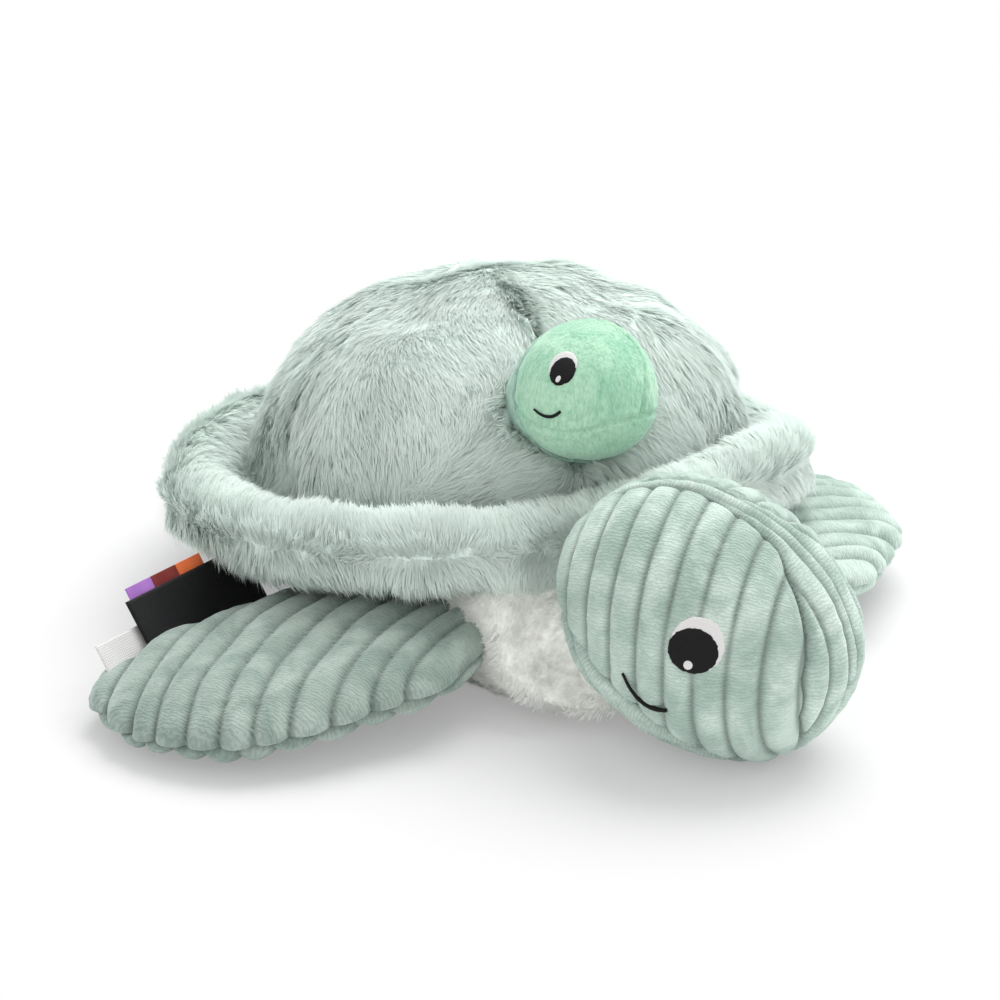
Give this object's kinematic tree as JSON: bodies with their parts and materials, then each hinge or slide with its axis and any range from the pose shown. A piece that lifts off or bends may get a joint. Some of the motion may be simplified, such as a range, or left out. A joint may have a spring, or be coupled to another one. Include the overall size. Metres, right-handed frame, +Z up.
{
  "type": "plush turtle with baby turtle in shell pocket",
  "caption": "Stuffed sea turtle with a domed fur shell in a padded fur rim, ribbed velour head and flippers, and a baby turtle that lifts out of a slit pocket in the shell.",
  "frame": {"origin": "on the floor under the middle of the shell, on the flat of the belly that the toy lies on", "axes": "+Z up; the mother turtle's nose end is towards -Y when her head is straight, and her left side is +X"},
  "size_m": [0.2853, 0.3054, 0.1146],
  "materials": {
    "fur": "long soft sage green pile",
    "velour": "ribbed sage green velour",
    "cream_fur": "cream white short fur",
    "lining": "plain sage green lining cloth",
    "mint": "smooth mint green short pile",
    "stuffing": "white polyester fibre filling",
    "white_thread": "white satin stitch",
    "black_thread": "black satin stitch",
    "black_label": "bare black woven ribbon",
    "white_label": "bare white satin ribbon",
    "orange": "orange woven ribbon",
    "red": "dark red woven ribbon",
    "purple": "purple woven ribbon"
  },
  "bodies": {
    "body": {"belly_cover": "cream_fur", "body_stuffing": "stuffing", "pocket_lining": "lining", "rim_cover": "fur", "rim_stuffing": "stuffing", "shell_cover": "fur"},
    "neck": {"neck_stuffing": "stuffing"},
    "head": {"eye_white_left": "white_thread", "eye_white_right": "white_thread", "glint_left": "white_thread", "glint_right": "white_thread", "head_cover": "velour", "head_stuffing": "stuffing", "pupil_left": "black_thread", "pupil_right": "black_thread", "smile_left": "black_thread", "smile_right": "black_thread"},
    "baby": {"baby_body": "mint", "baby_eye_white_left": "white_thread", "baby_eye_white_right": "white_thread", "baby_front_left_flipper": "mint", "baby_front_right_flipper": "mint", "baby_glint_left": "white_thread", "baby_glint_right": "white_thread", "baby_head_cover": "mint", "baby_head_stuffing": "stuffing", "baby_pupil_left": "black_thread", "baby_pupil_right": "black_thread", "baby_rear_left_flipper": "mint", "baby_rear_right_flipper": "mint", "baby_smile_left": "black_thread", "baby_smile_right": "black_thread"},
    "front_right_flipper": {"care_label": "white_label", "front_right_flipper_cover": "velour", "front_right_flipper_stuffing": "stuffing", "ribbon_tab_orange": "orange", "ribbon_tab_purple": "purple", "ribbon_tab_red": "red", "woven_label": "black_label"},
    "front_left_flipper": {"front_left_flipper_cover": "velour", "front_left_flipper_stuffing": "stuffing"},
    "rear_right_flipper": {"rear_right_flipper_cover": "velour", "rear_right_flipper_stuffing": "stuffing"},
    "rear_left_flipper": {"rear_left_flipper_cover": "velour", "rear_left_flipper_stuffing": "stuffing"}
  },
  "joints": [
    {"name": "baby_slide", "type": "slide", "parent": "body", "child": "baby", "axis": [0, -0.9397, 0.342], "range_m": [0, 0.09]},
    {"name": "head_turn", "type": "hinge", "parent": "body", "child": "neck", "pos_m": [0, -0.118, 0.008], "axis": [0, 0, 1], "range_deg": [-86, 0]},
    {"name": "head_nod", "type": "hinge", "parent": "neck", "child": "head", "pos_m": [0, -0.118, 0.062], "axis": [-0.7314, -0.682, 0], "range_deg": [0, 20]},
    {"name": "front_right_flap", "type": "hinge", "parent": "body", "child": "front_right_flipper", "pos_m": [-0.05, -0.068, 0.0215], "axis": [-0.1392, 0.9903, 0], "range_deg": [-30, 8]},
    {"name": "front_left_flap", "type": "hinge", "parent": "body", "child": "front_left_flipper", "pos_m": [0.05, -0.068, 0.0215], "axis": [0.766, -0.6428, 0], "range_deg": [-30, 5]},
    {"name": "rear_right_flap", "type": "hinge", "parent": "body", "child": "rear_right_flipper", "pos_m": [-0.037, 0.053, 0.0076], "axis": [0.891, 0.454, 0], "range_deg": [-30, 3]},
    {"name": "rear_left_flap", "type": "hinge", "parent": "body", "child": "rear_left_flipper", "pos_m": [0.037, 0.053, 0.0076], "axis": [0.891, -0.454, 0], "range_deg": [-30, 3]}
  ]
}
